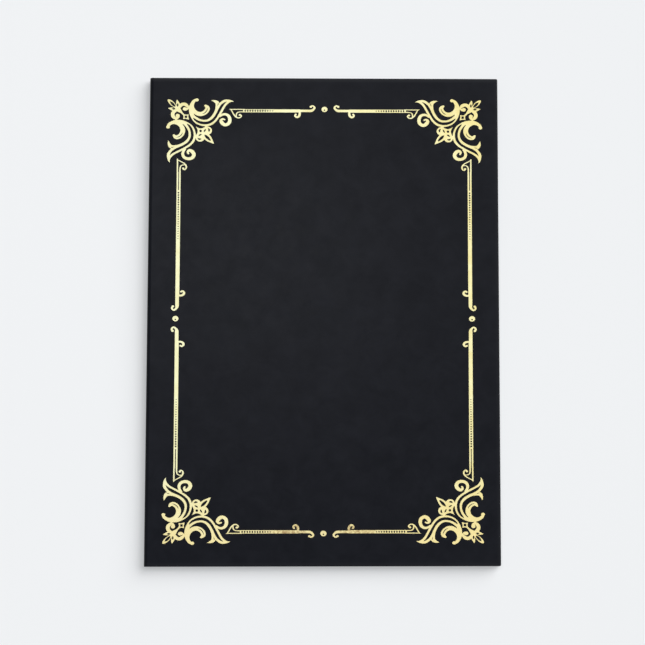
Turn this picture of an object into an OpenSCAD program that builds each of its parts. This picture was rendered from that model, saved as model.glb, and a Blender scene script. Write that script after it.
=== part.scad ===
// Certificate holder: a hardback cover of two wrapped boards on a rounded spine, with a foil border
// on the front and, inside, a lining card with four corner ribbons that hold one sheet.
// Millimetres. The closed cover lies on its back: x runs from the spine to the fore edge,
// y from the tail to the head, z up. The origin is under the middle of the cover.

/* [Sheet] */
// Width of the sheet that the holder is made for
sheet_w = 210; // [175:1:250]
// Height of the sheet
sheet_h = 297; // [250:1:350]
// Room between the sheet and each long side of its lining card
side_play = 1.6; // [1:0.1:4]
// Room between the sheet and the head and tail of its lining card
end_play = 3.5; // [1:0.1:6]

/* [Panels] */
// Thickness of each board
board_t = 2; // [1:0.1:4]
// Thickness of the covering that wraps the boards
wrap_t = 0.4; // [0.3:0.05:0.6]
// Width of the covering that is turned in round a board's edge
turn_in = 15; // [8:0.5:22]
// Thickness of the lining card
liner_t = 0.4; // [0.35:0.05:1]
// Distance from the lining card to the edges of its panel
liner_margin = 3; // [1:0.1:7]
// Room between the two lining cards when the cover is shut
leaf_gap = 1.1; // [0.9:0.1:4]
// Radius of the cover's outer corners, seen from the front
corner_r = 0.9; // [0.5:0.1:4]

/* [Spine] */
// Radius at which the covering bends round each edge of the spine
spine_r = 2.4; // [1.5:0.1:2.8]
// Thickness of the stiffening strip in the spine
strip_t = 1; // [0.5:0.1:1.2]
// Width of the hinge tape that is glued down on each board
tape_w = 12; // [6:0.5:25]

/* [Ribbons and clear sheet] */
// Width of each corner ribbon
ribbon_w = 16; // [8:0.5:25]
// Thickness of the ribbon
ribbon_t = 0.25; // [0.1:0.05:0.3]
// Distance from the lining card's corner to the middle of the ribbon, along the card's edge
ribbon_reach = 40; // [25:1:60]
// Length of ribbon that is tucked under the lining card
ribbon_tail = 12; // [4:0.5:25]
// Room beside the tucked ribbon in its recess
ribbon_play = 0.1; // [0.05:0.05:0.5]
// Thickness of the clear sheet
film_t = 0.2; // [0.1:0.05:0.3]
// Room for the certificate between the clear sheet and the ribbons
paper_gap = 0.3; // [0.2:0.05:0.3]

/* [Foil border] */
// Thickness of the foil
foil_t = 0.1; // [0.05:0.05:0.3]
// Distance from the cover's side edges to the line through the middle of the side rules' dots
frame_inset_x = 17.6; // [10:0.1:25]
// Distance from the head and tail edges to the line through the middle of the end rules' dots
frame_inset_y = 20.4; // [10:0.1:28]
// Distance of the border's middle from the cover's middle, towards the fore edge
frame_shift = 0.4; // [0:0.1:2]
// Side of the square field that one corner ornament is drawn in
corner_field = 50; // [40:1:54]
// Gap from the end of a head or tail rule to the middle of its dot
end_dot_gap = 5.9; // [3:0.1:10]
// Gap from the end of a side rule to the middle of its dot
side_dot_gap = 5; // [3:0.1:10]
// Breadth of the ornaments against the drawn one
ornament_wide_share = 1.012; // [0.96:0.002:1.04]
// Height of the ornaments against the drawn one
ornament_high_share = 0.986; // [0.96:0.002:1.04]
// Breadth of the dots, along x
dot_w = 3.8; // [2:0.05:6]
// Height of the dots, along y
dot_h = 3.4; // [2:0.05:6]
// Radius of the prick in each dot
prick_r = 0.5; // [0.2:0.05:0.6]
// Distance of the prick from the dot's middle, towards the tail
prick_drop = 0.5; // [0:0.05:0.6]
// Half of the first bead in a head or tail rule, along the rule
end_bead_along = 0.54; // [0.3:0.02:0.64]
// Half of the first bead in a head or tail rule, across the rule
end_bead_across = 0.74; // [0.3:0.02:0.76]
// Half of the first bead in a side rule, along the rule
side_bead_along = 0.62; // [0.3:0.02:0.66]
// Half of the first bead in a side rule, across the rule
side_bead_across = 0.54; // [0.3:0.02:0.76]
// Distance from bead to bead
bead_pitch = 1.57; // [1.2:0.01:3]
// Length of the beading on a head or tail rule
end_beading = 18.8; // [5:0.1:24]
// Length of the beading on a side rule
side_beading = 30.5; // [5:0.1:40]
// Length of the slit that comes before the beading of a side rule
side_slit = 12.5; // [2:0.1:16]
// Half of the slit's breadth
slit_r = 0.28; // [0.2:0.02:0.5]
// Half of the narrowest line or gap that the foil can hold
foil_least = 0.1; // [0.05:0.01:0.2]
// How far the foil stops short of the drawn strokes' edges, along x
foil_short_x = 0.15; // [0.05:0.01:0.35]
// How far the foil stops short of the drawn strokes' edges, along y
foil_short_y = 0.29; // [0.05:0.01:0.35]

/* [Hidden] */
$fn = 64;
overrun = 1;
curve_steps = 3;
dot_sides = 28;
bead_sides = 8;
tip_sides = 12;

ENDS = ["head", "tail"];
SIDES = ["spine", "fore"];

board_x = spine_r + wrap_t;
liner_x = board_x + liner_margin;
liner_w = sheet_w + 2 * side_play;
liner_h = sheet_h + 2 * end_play;
cover_w = liner_x + liner_w + liner_margin;
cover_h = liner_h + 2 * liner_margin;
shell_t = board_t + 2 * wrap_t;
panel_t = shell_t + liner_t;
cover_t = 2 * panel_t + leaf_gap;
spine_flat = cover_t - 2 * spine_r;
lining_half = cover_h / 2 - turn_in;
ribbon_z = panel_t + film_t + paper_gap;
frame_w = cover_w - 2 * frame_inset_x;
frame_h = cover_h - 2 * frame_inset_y;

covering_colour = [0.15, 0.15, 0.17];
board_colour = [0.62, 0.6, 0.56];
lining_colour = [0.93, 0.9, 0.82];
tape_colour = [0.2, 0.2, 0.21];
foil_colour = [0.95, 0.87, 0.6];
ribbon_colour = [0.08, 0.08, 0.09];
clear_colour = [0.85, 0.92, 0.95, 0.3];

// The ornament is drawn in shares of the corner field, from the place where the lines through the
// dots cross: across, then down, then half of the stroke's breadth. Only the half above the
// diagonal is given, and strokes on the diagonal are their own mirror image.
scroll_shares = [
    [0.234, -0.126, 0.018], [0.206, -0.108, 0.023], [0.184, -0.076, 0.026], [0.172, -0.034, 0.032],
    [0.170, 0.014, 0.033], [0.175, 0.060, 0.031], [0.189, 0.106, 0.026], [0.210, 0.149, 0.021],
    [0.244, 0.183, 0.019], [0.298, 0.207, 0.018], [0.360, 0.213, 0.019], [0.424, 0.196, 0.019],
    [0.476, 0.150, 0.018], [0.520, 0.082, 0.017], [0.552, 0.024, 0.017], [0.578, -0.026, 0.017],
    [0.606, -0.068, 0.018], [0.644, -0.098, 0.018], [0.684, -0.104, 0.011], [0.710, -0.094, 0.002]
];
ball_share = [0.238, -0.120, 0.026];
crescent_shares = [
    [0.182, -0.070, 0.020], [0.182, -0.030, 0.024], [0.196, 0.013, 0.028], [0.234, 0.052, 0.031],
    [0.286, 0.066, 0.033], [0.336, 0.049, 0.033], [0.368, 0.012, 0.033], [0.370, -0.024, 0.029],
    [0.346, -0.046, 0.018]
];
inner_band_shares = [
    [0.196, 0.090, 0.020], [0.242, 0.127, 0.019], [0.296, 0.151, 0.018], [0.352, 0.155, 0.019],
    [0.398, 0.139, 0.020], [0.440, 0.102, 0.022], [0.474, 0.046, 0.022], [0.496, -0.010, 0.023],
    [0.524, -0.056, 0.020], [0.558, -0.090, 0.020], [0.594, -0.110, 0.021], [0.634, -0.112, 0.019],
    [0.674, -0.106, 0.014], [0.710, -0.093, 0.002]
];
leaf_shares = [
    [0.492, -0.010, 0.024], [0.502, -0.052, 0.030], [0.492, -0.086, 0.028], [0.458, -0.106, 0.019],
    [0.418, -0.114, 0.006]
];
volute_shares = [
    [0.530, 0.096, 0.016], [0.560, 0.074, 0.019], [0.600, 0.068, 0.021], [0.638, 0.090, 0.023],
    [0.655, 0.136, 0.024], [0.644, 0.184, 0.025], [0.602, 0.208, 0.026], [0.562, 0.188, 0.027],
    [0.547, 0.154, 0.026], [0.560, 0.134, 0.020], [0.576, 0.132, 0.016]
];
volute_ball_share = [0.587, 0.138, 0.015];
curl_shares = [
    [0.020, -0.028, 0.024], [0.046, -0.056, 0.026], [0.078, -0.064, 0.026], [0.106, -0.051, 0.026],
    [0.120, -0.022, 0.026], [0.106, -0.002, 0.026], [0.087, -0.001, 0.029]
];
fleur_shares = [
    [-0.128, -0.128, 0.004], [-0.118, -0.118, 0.018], [-0.096, -0.096, 0.029],
    [-0.064, -0.064, 0.031], [-0.036, -0.036, 0.024], [0.000, 0.000, 0.036],
    [0.028, 0.028, 0.026], [0.052, 0.052, 0.015], [0.074, 0.074, 0.014]
];
side_leaf_shares = [
    [-0.010, -0.126, 0.005], [-0.007, -0.100, 0.017], [0.000, -0.072, 0.025],
    [0.010, -0.044, 0.028], [0.012, -0.016, 0.024]
];
diamond_shares = [
    [0.060, 0.060], [0.106, 0.070], [0.140, 0.062], [0.135, 0.100], [0.148, 0.148],
    [0.100, 0.135], [0.062, 0.140], [0.070, 0.106]
];
inner_fleur_shares = [
    [0.212, 0.212, 0.002], [0.240, 0.240, 0.008], [0.262, 0.262, 0.020], [0.290, 0.290, 0.034],
    [0.316, 0.316, 0.030], [0.342, 0.342, 0.044], [0.366, 0.366, 0.047], [0.400, 0.400, 0.040],
    [0.430, 0.430, 0.023], [0.458, 0.458, 0.006]
];
fleur_arm_shares = [
    [0.280, 0.270, 0.020], [0.314, 0.262, 0.016], [0.350, 0.246, 0.018], [0.368, 0.220, 0.020]
];
rosette_share = [0.375, 0.284, 0.060];

// Places where the foil is left out of the corner ornament
band_gap_shares = [
    [0.196, 0.118, 0.004], [0.220, 0.143, 0.012], [0.252, 0.164, 0.015], [0.300, 0.181, 0.018],
    [0.360, 0.184, 0.018], [0.412, 0.167, 0.018], [0.460, 0.126, 0.016], [0.500, 0.060, 0.015],
    [0.530, -0.010, 0.014], [0.560, -0.060, 0.010], [0.592, -0.086, 0.003]
];
crescent_groove_shares = [
    [0.374, -0.014, 0.001], [0.370, 0.008, 0.004], [0.354, 0.036, 0.005], [0.330, 0.056, 0.004],
    [0.310, 0.062, 0.001]
];
leaf_slit_shares = [[0.508, -0.084, 0.001], [0.506, -0.064, 0.004], [0.498, -0.044, 0.001]];
fleur_eye_shares = [
    [-0.098, -0.098, 0.003], [-0.082, -0.082, 0.014], [-0.060, -0.060, 0.017],
    [-0.040, -0.040, 0.011]
];
side_leaf_eye_shares = [
    [-0.003, -0.076, 0.001], [-0.002, -0.058, 0.010], [-0.002, -0.042, 0.009],
    [-0.002, -0.032, 0.003]
];
inner_fleur_eye_shares = [
    [0.341, 0.341, 0.005], [0.360, 0.360, 0.016], [0.386, 0.386, 0.017], [0.410, 0.410, 0.009]
];
inner_comma_shares = [[0.352, 0.266, 0.004], [0.342, 0.282, 0.010], [0.334, 0.298, 0.006]];
outer_comma_shares = [[0.384, 0.256, 0.004], [0.396, 0.272, 0.012], [0.395, 0.292, 0.007]];
diamond_eye_share = [0.103, 0.016];
inner_fleur_pip_share = [0.289, 0.016];

// The start of a rule, in shares of the corner field as above
bead_line_share = 0.0205;
rail_start_share = 0.817;
first_bead_share = 0.848;
rail_shares = [[0.638, -0.009, 0.001], [0.660, 0.002, 0.010], [0.700, 0.0035, 0.011], [0.840, 0.0035, 0.011]];
leg_shares = [
    [0.650, -0.006, 0.003], [0.674, 0.016, 0.010], [0.694, 0.052, 0.011], [0.713, 0.084, 0.012],
    [0.738, 0.107, 0.013], [0.763, 0.115, 0.013], [0.785, 0.109, 0.012], [0.798, 0.094, 0.012],
    [0.794, 0.080, 0.013]
];
leg_ball_share = [0.781, 0.076, 0.018];
lower_rail_shares = [
    [0.737, 0.096, 0.009], [0.736, 0.070, 0.011], [0.750, 0.045, 0.011], [0.785, 0.036, 0.011],
    [0.840, 0.0355, 0.0115]
];
// The end of a rule, in shares of the corner field from the rule's end
waist_share = -0.190;
neck_end_share = -0.050;
hook_start_share = -0.070;
hook_shares = [
    [-0.046, 0.0170, 0.0215], [-0.024, 0.003, 0.0175], [-0.009, -0.018, 0.016],
    [-0.018, -0.038, 0.015], [-0.036, -0.045, 0.0155], [-0.050, -0.040, 0.014]
];
hook_ball_share = [-0.056, -0.034, 0.019];
rule_curl_shares = [
    [-0.196, 0.030, 0.016], [-0.197, 0.070, 0.018], [-0.208, 0.094, 0.018], [-0.228, 0.104, 0.018],
    [-0.247, 0.096, 0.016], [-0.256, 0.080, 0.014]
];
rule_ball_share = [-0.246, 0.067, 0.017];
// Top and bottom of a rule's bar, and of its neck between the curl and the end
end_rule_shares = [[-0.0045, 0.047], [-0.0015, 0.0413]];
side_rule_shares = [[-0.0065, 0.0475], [-0.0065, 0.0435]];
// Share of the beading after which the beads shrink, and the last bead against the first
end_bead_fade_shares = [0.65, 0.6];
side_bead_fade_shares = [0.1, 0.55];

// Place at share t between p1 and p2 on a smooth curve that also passes p0 and p3
function curve_place(p0, p1, p2, p3, t) =
    p1 + (p2 - p0) * t / 2
    + (2 * p0 - 5 * p1 + 4 * p2 - p3) * t * t / 2
    + (3 * (p1 - p2) + p3 - p0) * t * t * t / 2;

// Smooth line through all the rows of a table
function smooth_line(rows) = concat(
    [for (i = [0 : len(rows) - 2], s = [0 : curve_steps - 1])
        curve_place(rows[max(i - 1, 0)], rows[i], rows[i + 1],
            rows[min(i + 2, len(rows) - 1)], s / curve_steps)],
    [rows[len(rows) - 1]]
);

// One edge of a stroke: each place on the line moved sideways by its half breadth
function stroke_edge(line, side) = [
    for (i = [0 : len(line) - 1])
        let (way = line[min(i + 1, len(line) - 1)] - line[max(i - 1, 0)])
        let (reach = side * line[i].z / norm([way.x, way.y]))
        [line[i].x - reach * way.y, line[i].y + reach * way.x]
];

function reversed(list) = [for (i = [len(list) - 1 : -1 : 0]) list[i]];

// Drawn stroke with round ends
module stroke(rows) {
    line = smooth_line(rows);
    scale(corner_field) {
        polygon(concat(stroke_edge(line, 1), reversed(stroke_edge(line, -1))));
        for (tip = [line[0], line[len(line) - 1]])
            translate([tip.x, tip.y]) circle(tip.z, $fn = tip_sides);
    }
}

// Round spot given as across, down and radius
module spot(share) {
    translate([share.x, share.y] * corner_field)
        circle(share.z * corner_field, $fn = dot_sides);
}

// Draws strokes back from their edges, by a different distance along each axis
module drawn_back(short) {
    scale(short)
        offset(delta = -1)
            scale([1 / short.x, 1 / short.y])
                children();
}

// What is drawn above the diagonal, together with its mirror image below it
module both_halves() {
    children();
    mirror([1, -1]) children();
}

module corner_ornament() {
    difference() {
        drawn_back([foil_short_x, foil_short_y]) {
            both_halves() {
                stroke(scroll_shares);
                spot(ball_share);
                stroke(crescent_shares);
                stroke(inner_band_shares);
                stroke(leaf_shares);
                stroke(volute_shares);
                spot(volute_ball_share);
                stroke(curl_shares);
                stroke(side_leaf_shares);
                stroke(fleur_arm_shares);
                spot(rosette_share);
            }
            stroke(fleur_shares);
            stroke(inner_fleur_shares);
            scale(corner_field) polygon(diamond_shares);
        }
        both_halves() {
            stroke(band_gap_shares);
            stroke(crescent_groove_shares);
            stroke(leaf_slit_shares);
            stroke(side_leaf_eye_shares);
            stroke(inner_comma_shares);
            stroke(outer_comma_shares);
        }
        stroke(fleur_eye_shares);
        stroke(inner_fleur_eye_shares);
        translate([1, 1] * diamond_eye_share[0] * corner_field)
            square(2 * diamond_eye_share[1] * corner_field, center = true);
        spot([inner_fleur_pip_share[0], inner_fleur_pip_share[0], inner_fleur_pip_share[1]]);
    }
}

// Straight bar between two places along a rule, and between two lines beside it
module bar(from, to, top, bottom) {
    translate([from, top]) square([to - from, bottom - top]);
}

// Rule from a corner ornament to a dot: run is the distance from corner to dot, edge_shares the top
// and bottom of the bar and of its neck, bead half of the first bead along the rule and across it,
// and short how far the foil stops short the same two ways
module rule(run, dot_gap, edge_shares, slit, beading, bead, fade_shares, short) {
    end = run - dot_gap;
    rail = edge_shares[0] * corner_field;
    neck = edge_shares[1] * corner_field;
    neck_middle = (edge_shares[1][0] + edge_shares[1][1]) / 2;
    hook_start = [hook_start_share, neck_middle, edge_shares[1][1] - neck_middle];
    waist = end + waist_share * corner_field;
    bead_y = bead_line_share * corner_field;
    rail_start = rail_start_share * corner_field;
    bead_start = first_bead_share * corner_field + slit;
    beads = floor(beading / bead_pitch);
    difference() {
        drawn_back(short) {
            stroke(rail_shares);
            stroke(leg_shares);
            spot(leg_ball_share);
            stroke(lower_rail_shares);
            bar(rail_start, waist, rail[0], rail[1]);
            bar(waist, end + neck_end_share * corner_field, neck[0], neck[1]);
            translate([end, 0]) {
                stroke(concat([hook_start], hook_shares));
                spot(hook_ball_share);
                stroke(rule_curl_shares);
                spot(rule_ball_share);
            }
        }
        if (slit > 0)
            bar(rail_start - slit_r, rail_start + slit, bead_y - slit_r, bead_y + slit_r);
        for (i = [0 : beads])
            let (fade = max(0, i / beads - fade_shares[0]) / (1 - fade_shares[0]))
                translate([bead_start + i * bead_pitch, bead_y])
                    scale(bead * (1 + (fade_shares[1] - 1) * fade))
                        circle(1, $fn = bead_sides);
    }
}

// Turns what is drawn for the tail corner at the spine into the named corner
module at_corner(end, side) {
    x = frame_shift + (side == "fore" ? frame_w : -frame_w) / 2;
    y = (end == "head" ? frame_h : -frame_h) / 2;
    translate([x, y])
        mirror([side == "fore" ? 1 : 0, 0])
            mirror([0, end == "head" ? 1 : 0])
                scale([ornament_wide_share, ornament_high_share])
                    children();
}

// Foil pressed on the front of the cover in the drawn outline, without what is too narrow for it
module foil() {
    color(foil_colour)
        translate([0, 0, cover_t])
            linear_extrude(foil_t)
                offset(delta = foil_least) offset(delta = -2 * foil_least) offset(delta = foil_least)
                    children();
}

module foil_corner(end, side) {
    foil() at_corner(end, side) corner_ornament();
}

module foil_end_rule(end, side) {
    foil() at_corner(end, side)
        rule(frame_w / 2 / ornament_wide_share, end_dot_gap / ornament_wide_share, end_rule_shares,
            0, end_beading, [end_bead_along, end_bead_across], end_bead_fade_shares,
            [foil_short_x, foil_short_y]);
}

module foil_side_rule(end, side) {
    foil() at_corner(end, side) mirror([1, -1])
        rule(frame_h / 2 / ornament_high_share, side_dot_gap / ornament_high_share, side_rule_shares,
            side_slit, side_beading, [side_bead_along, side_bead_across], side_bead_fade_shares,
            [foil_short_y, foil_short_x]);
}

module foil_dot(place) {
    x = place == "fore" ? frame_w / 2 : place == "spine" ? -frame_w / 2 : 0;
    y = place == "head" ? frame_h / 2 : place == "tail" ? -frame_h / 2 : 0;
    foil() translate([frame_shift + x, y]) difference() {
        scale([1, dot_h / dot_w]) circle(dot_w / 2, $fn = dot_sides);
        translate([0, -prick_drop]) circle(prick_r, $fn = bead_sides);
    }
}

// Flat plate across a panel, measured from the spine's outer face, with round outer corners
module plate(from, to, half_h, bottom, top, corner = 0) {
    translate([0, 0, bottom])
        linear_extrude(top - bottom) {
            translate([from, -half_h]) square([to - from - corner, 2 * half_h]);
            if (corner > 0) {
                translate([from, corner - half_h]) square([to - from, 2 * (half_h - corner)]);
                for (end = [-1, 1])
                    translate([to - corner, end * (half_h - corner)]) circle(corner);
            }
        }
}

// Covering folded round a board: one ply outside, the folds, and the flaps turned in
module folded_wrap(from, to, board_from, board_to, thick, window_to, corner) {
    difference() {
        plate(from, to, cover_h / 2, 0, thick + 2 * wrap_t, corner);
        plate(board_from, board_to, cover_h / 2 - wrap_t, wrap_t, wrap_t + thick, max(corner - wrap_t, 0));
        plate(from - overrun, window_to, lining_half, wrap_t, thick + 2 * wrap_t + overrun);
    }
}

// Back panel's place, and the front panel's, which lies upside down over it
module back_panel() {
    translate([-cover_w / 2, 0, 0]) children();
}

module front_panel() {
    translate([-cover_w / 2, 0, cover_t]) mirror([0, 0, 1]) children();
}

// Spine's place, standing between the two panels with its outer face to the left
module spine_panel() {
    translate([-cover_w / 2, 0, cover_t - spine_r]) rotate([0, 90, 0]) children();
}

module board() {
    color(board_colour)
        plate(board_x, cover_w - wrap_t, cover_h / 2 - wrap_t, wrap_t, wrap_t + board_t,
            max(corner_r - wrap_t, 0));
}

module wrap() {
    color(covering_colour)
        folded_wrap(spine_r, cover_w, board_x, cover_w - wrap_t, board_t, cover_w - turn_in, corner_r);
}

module infill() {
    color(board_colour)
        plate(board_x + tape_w, cover_w - turn_in, lining_half, wrap_t + board_t, shell_t);
}

module hinge_tape() {
    color(tape_colour) {
        plate(spine_r, board_x, lining_half, wrap_t, shell_t);
        plate(board_x, board_x + tape_w, lining_half, wrap_t + board_t, shell_t);
    }
}

module liner_plate() {
    plate(liner_x, liner_x + liner_w, liner_h / 2, shell_t, panel_t);
}

module front_liner() {
    color(lining_colour) front_panel() liner_plate();
}

// Corner of the lining card, with x and y running inwards along its edges
module at_liner_corner(end, side) {
    translate([side == "fore" ? liner_x + liner_w : liner_x, (end == "head" ? liner_h : -liner_h) / 2, 0])
        mirror([side == "fore" ? 1 : 0, 0, 0])
            mirror([0, end == "head" ? 1 : 0, 0])
                children();
}

// Distance along the card's edge from its corner to the ribbon's near edge, and to its far edge
ribbon_near = ribbon_reach - ribbon_w / sqrt(2);
ribbon_far = ribbon_reach + ribbon_w / sqrt(2);

// Outline of one tucked end, which slants away from the corner
module tail_outline(play) {
    polygon([
        [-play, ribbon_near - 2 * play], [ribbon_tail + play, ribbon_near + ribbon_tail],
        [ribbon_tail + play, ribbon_far + ribbon_tail + 2 * play], [-play, ribbon_far]
    ]);
}

module back_liner() {
    color(lining_colour)
        back_panel()
            difference() {
                liner_plate();
                for (end = ENDS, side = SIDES)
                    at_liner_corner(end, side)
                        translate([0, 0, shell_t - overrun])
                            linear_extrude(overrun + ribbon_t) {
                                tail_outline(ribbon_play);
                                mirror([1, -1]) tail_outline(ribbon_play);
                            }
            }
}

// Ribbon across a corner of the lining card: over the sheet's room, down both edges and tucked under
module ribbon(end, side) {
    color(ribbon_colour)
        back_panel()
            at_liner_corner(end, side) {
                translate([0, 0, ribbon_z])
                    linear_extrude(ribbon_t)
                        polygon([
                            [-ribbon_t, ribbon_near + ribbon_t], [ribbon_near + ribbon_t, -ribbon_t],
                            [ribbon_far + ribbon_t, -ribbon_t], [-ribbon_t, ribbon_far + ribbon_t]
                        ]);
                translate([0, 0, shell_t])
                    for (flip = [0, 1])
                        mirror([flip, -flip, 0]) {
                            linear_extrude(ribbon_t) tail_outline(0);
                            linear_extrude(ribbon_z - shell_t)
                                polygon([
                                    [0, ribbon_near], [0, ribbon_far],
                                    [-ribbon_t, ribbon_far + ribbon_t], [-ribbon_t, ribbon_near + ribbon_t]
                                ]);
                        }
            }
}

module clear_sheet() {
    color(clear_colour)
        back_panel()
            plate(liner_x + side_play, liner_x + side_play + sheet_w, sheet_h / 2, panel_t, panel_t + film_t);
}

module spine_strip() {
    color(board_colour)
        spine_panel()
            plate(wrap_t, spine_flat - wrap_t, cover_h / 2 - wrap_t, wrap_t, wrap_t + strip_t);
}

module spine_wrap() {
    color(covering_colour)
        spine_panel()
            folded_wrap(0, spine_flat, wrap_t, spine_flat - wrap_t, strip_t, spine_flat + overrun, 0);
}

module spine_lining() {
    color(tape_colour)
        spine_panel()
            difference() {
                plate(0, spine_flat, lining_half, wrap_t, strip_t + 2 * wrap_t);
                plate(wrap_t, spine_flat - wrap_t, lining_half + overrun, 0, wrap_t + strip_t);
            }
}

// Quarter of a tube along y, bent round the spine's lower edge
module bend(outer, inner, half_h) {
    translate([spine_r, 0, spine_r])
        rotate([90, 0, 0])
            linear_extrude(2 * half_h, center = true)
                intersection() {
                    difference() {
                        circle(outer);
                        circle(inner);
                    }
                    translate([-outer, -outer]) square(outer);
                }
}

// Covering bent round the spine's edge, double at both ends where it is turned in
module crease() {
    color(covering_colour)
        difference() {
            bend(spine_r, spine_r - 2 * wrap_t, cover_h / 2);
            bend(spine_r - wrap_t, spine_r - 3 * wrap_t, lining_half);
        }
}

module crease_lining() {
    color(tape_colour) bend(spine_r - wrap_t, spine_r - 2 * wrap_t, lining_half);
}

back_panel() board();  // back_board
back_panel() wrap();  // back_wrap
back_panel() infill();  // back_infill
back_panel() hinge_tape();  // back_hinge_tape
back_liner();
for (end = ENDS, side = SIDES)
    ribbon(end, side);
clear_sheet();
spine_strip();
spine_wrap();
spine_lining();
back_panel() crease();  // back_crease
back_panel() crease_lining();  // back_crease_lining
front_panel() crease();  // front_crease
front_panel() crease_lining();  // front_crease_lining
front_panel() board();  // front_board
front_panel() wrap();  // front_wrap
front_panel() infill();  // front_infill
front_panel() hinge_tape();  // front_hinge_tape
front_liner();
for (end = ENDS, side = SIDES)
    foil_corner(end, side);
for (end = ENDS, side = SIDES)
    foil_end_rule(end, side);
for (end = ENDS, side = SIDES)
    foil_side_rule(end, side);
for (place = concat(ENDS, SIDES))
    foil_dot(place);
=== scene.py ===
"""Certificate holder: covering, hinge cloth, ribbons, foil and lining, dressed on the part."""

import math

import bmesh
import bpy
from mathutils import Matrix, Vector


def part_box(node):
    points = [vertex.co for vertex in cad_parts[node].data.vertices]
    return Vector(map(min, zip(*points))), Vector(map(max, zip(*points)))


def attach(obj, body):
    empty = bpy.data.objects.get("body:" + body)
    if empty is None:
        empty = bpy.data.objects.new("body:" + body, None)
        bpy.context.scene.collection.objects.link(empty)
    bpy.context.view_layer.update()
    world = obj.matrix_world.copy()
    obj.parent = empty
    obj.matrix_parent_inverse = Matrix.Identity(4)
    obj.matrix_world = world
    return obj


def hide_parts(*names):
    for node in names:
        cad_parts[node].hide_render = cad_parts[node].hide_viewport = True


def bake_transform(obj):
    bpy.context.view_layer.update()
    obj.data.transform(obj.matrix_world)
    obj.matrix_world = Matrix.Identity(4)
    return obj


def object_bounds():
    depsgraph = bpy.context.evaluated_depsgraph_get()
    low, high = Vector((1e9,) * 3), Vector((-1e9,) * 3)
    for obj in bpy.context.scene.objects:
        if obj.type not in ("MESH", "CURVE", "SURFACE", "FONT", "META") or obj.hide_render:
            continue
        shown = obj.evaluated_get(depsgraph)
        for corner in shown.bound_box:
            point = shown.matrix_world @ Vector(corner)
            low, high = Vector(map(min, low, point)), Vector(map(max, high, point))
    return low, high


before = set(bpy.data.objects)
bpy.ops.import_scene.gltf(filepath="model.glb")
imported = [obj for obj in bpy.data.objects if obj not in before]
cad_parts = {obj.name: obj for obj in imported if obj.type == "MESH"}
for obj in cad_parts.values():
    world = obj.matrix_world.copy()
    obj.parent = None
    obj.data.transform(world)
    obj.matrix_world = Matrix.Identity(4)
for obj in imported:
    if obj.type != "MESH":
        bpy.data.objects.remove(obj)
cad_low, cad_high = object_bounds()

bl_info = {
    "name": "Certificate Holder",
    "version": (1, 0, 0),
    "blender": (4, 5, 0),
    "location": "View3D > Sidebar > Holder",
    "description": "Models the covering, hinge cloth, ribbons and finishes of a certificate holder",
    "category": "Object",
}

# Lengths that differ by less than this are the same, in metres
NEAR = 1e-6

UP = Vector((0, 0, 1))
TO_SPINE = Vector((-1, 0, 0))
TO_FORE = Vector((1, 0, 0))
TO_HEAD = Vector((0, 1, 0))

ENDS = ("head", "tail")
SIDES = ("spine", "fore")
CORNERS = [f"{end}_{side}" for end in ENDS for side in SIDES]

# Segments of rounded edges, of ribbon folds, of mitre seams and of the quarter bends
EDGE_STEPS = 4
FOLD_STEPS = 3
SEAM_STEPS = 2
BEND_STEPS = 12

# Faces that meet at less than this angle are shaded as one
SMOOTH_BELOW = math.radians(35)

# Share of its thickness by which a doubled strip is tapered at its ends
TAPER_SHARE = 0.9

# Painted highlight on the rims of the covering, full at the head's rim: where it starts and is
# full, from an edge, and its share of the head's rim at the other edges
RIM_HIGHLIGHT_START = 0.003
RIM_HIGHLIGHT_FULL = 0.0008
RIM_HIGHLIGHT_SHARE = 0.35

# Runs of the foil's colour that paint its light and shade: a highlight by the spine, shade at the
# tail, the fore corners and the tail's rules; each gives two places on the cover, in metres, and
# the value at each
PAINTED_HIGHLIGHT_TO_SPINE = (-0.1, 0.1, 0.27, -0.27)
PAINTED_SHADE_TO_TAIL = (-0.14, -0.06, -0.2, 0.0)
CORNER_SHADE_TO_SIDE = (0.055, 0.095, 0.0, 1.0)
CORNER_SHADE_TO_END = (0.1, 0.135, 0.0, 1.0)
PAINTED_CORNER_SHADE = (-0.1, 0.1, -0.25, -0.54)
# Painted shade: a deeper, warmer gold along the foil's tail
WARM_SHADE_TO_TAIL = (-0.15, -0.09, 0.65, 0.0)
# Painted shade on the tail's rules: darker brown patches
RULE_SHADE_TO_TAIL = (-0.13, -0.11, 0.85, 0.0)
RULE_SHADE_PAST_HOOKS = (0.009, 0.013, 0.3, 1.0)
RULE_SHADE_BEFORE_BEADS = (0.028, 0.042, 1.0, 0.05)

# Woven edge of the ribbon: where it starts and is full, from the ribbon's side
SELVAGE_START = 0.0012
SELVAGE_FULL = 0.0009

# Floor and lights, in metres and radians
FLOOR_SIZE = 8
FLOOR_DROP = 0.0001
LAMP_PLACE = (1, 1, 1)
LAMP_TURN = (math.radians(-27), math.radians(44), 0)
LAMP_SPREAD = math.radians(58)
WINDOW_PLACE = (-0.13, 0.25, 1.2)
WINDOW_TURN = (math.radians(-12), 0, 0)
WINDOW_SIZE = 0.3

# Camera: width of its sensor in millimetres, and the nearest that it sees, in metres
SENSOR_WIDTH = 36
NEAREST_SEEN = 0.01


# Sizes and colours --------------------------------------------------------------------------


def length(name, description, default, low, high):
    """A length in metres that the panel shows in the scene's unit."""
    return bpy.props.FloatProperty(
        name=name, description=description, default=default, min=low, max=high,
        precision=5, subtype="DISTANCE", unit="LENGTH",
    )


def colour(name, description, default):
    """A colour that the panel shows as a swatch."""
    return bpy.props.FloatVectorProperty(
        name=name, description=description, default=default, min=0, max=1, size=3,
        subtype="COLOR",
    )


def amount(name, description, default, low, high):
    """A plain number between two limits."""
    return bpy.props.FloatProperty(
        name=name, description=description, default=default, min=low, max=high,
    )


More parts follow.
